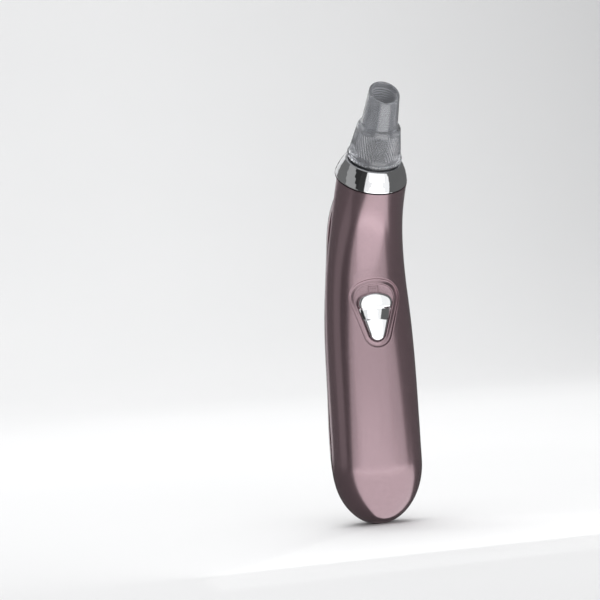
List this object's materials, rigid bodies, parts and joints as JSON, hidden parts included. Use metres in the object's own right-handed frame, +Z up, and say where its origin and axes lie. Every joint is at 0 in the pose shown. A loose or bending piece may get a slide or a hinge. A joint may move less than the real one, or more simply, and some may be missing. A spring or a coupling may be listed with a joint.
{
  "type": "blackhead vacuum extractor",
  "caption": "Hand-held skin suction cleaner: bent oval handle, chrome ring, clear pull-off tip with a slanted mouth, slide button in a teardrop recess, battery bay at the back.",
  "frame": {"origin": "middle of the small flat foot under the bulb", "axes": "+Z up the handle, -Y to the front, where the slide button is, +X to the right seen from the front"},
  "size_m": [0.042, 0.0598, 0.1926],
  "materials": {
    "casing": "satin metallic rose lacquer over moulded plastic, with fine flake",
    "bright_chrome": "mirror-bright plating on plastic",
    "clear_plastic": "clear plastic, slightly grey, with moulded ribs",
    "socket_plastic": "dark semi-gloss plastic",
    "black_plastic": "black moulded plastic, fine texture",
    "screw_steel": "zinc-plated steel",
    "switch_steel": "folded tinned steel",
    "board_laminate": "green solder mask",
    "component_plastic": "black moulded component bodies",
    "cell_sleeve": "satin printed sleeve without text",
    "contact_brass": "nickel-flashed spring brass",
    "motor_steel": "drawn steel, satin",
    "magnet": "sintered ferrite, matt",
    "nylon": "natural nylon",
    "bush_brass": "sintered bronze",
    "rotor_steel": "laminated steel with copper windings",
    "soft_rubber": "matt black rubber",
    "hose_silicone": "translucent soft silicone",
    "lead_red": "red wire cover",
    "lead_black": "black wire cover",
    "sponge": "open-cell white foam"
  },
  "bodies": {
    "handle": {"front_shell": "casing", "back_shell": "casing", "case_screws": "screw_steel", "switch_body": "switch_steel", "circuit_board": "board_laminate", "board_screws": "screw_steel", "board_parts": "component_plastic", "battery_left": "cell_sleeve", "battery_right": "cell_sleeve", "battery_tray": "black_plastic", "bridge_contact": "contact_brass", "positive_contact": "contact_brass", "negative_contact": "contact_brass", "contact_springs": "contact_brass", "motor_can": "motor_steel", "motor_magnets": "magnet", "motor_end_cap": "nylon", "motor_bushes": "bush_brass", "crank_case": "black_plastic", "wobble_plate": "nylon", "diaphragm": "soft_rubber", "valve_plate": "nylon", "pump_head": "black_plastic", "pump_screws": "screw_steel", "motor_mount": "soft_rubber", "suction_hose": "hose_silicone", "motor_lead_red": "lead_red", "motor_lead_black": "lead_black", "neck_ring": "bright_chrome", "nozzle_socket": "socket_plastic", "tip_seal": "soft_rubber", "filter_sponge": "sponge", "filter_grille": "nylon"},
    "tip": {"suction_tip": "clear_plastic"},
    "button": {"slide_button": "bright_chrome", "button_carrier": "black_plastic", "switch_lever": "black_plastic"},
    "cover": {"battery_cover": "casing"},
    "rotor": {"rotor": "rotor_steel", "eccentric": "nylon"}
  },
  "joints": [
    {"name": "button_slide", "type": "slide", "parent": "handle", "child": "button", "axis": [0, 0, 1], "range_m": [0, 0.0032]},
    {"name": "tip_pull", "type": "slide", "parent": "handle", "child": "tip", "axis": [0, -0.5878, 0.809], "range_m": [0, 0.025]},
    {"name": "cover_lift", "type": "slide", "parent": "handle", "child": "cover", "axis": [0, 1, 0], "range_m": [0, 0.03]},
    {"name": "motor_spin", "type": "hinge", "parent": "handle", "child": "rotor", "pos_m": [0, 0.002, 0.0995], "axis": [0, -0.2079, 0.9781], "continuous": true}
  ]
}
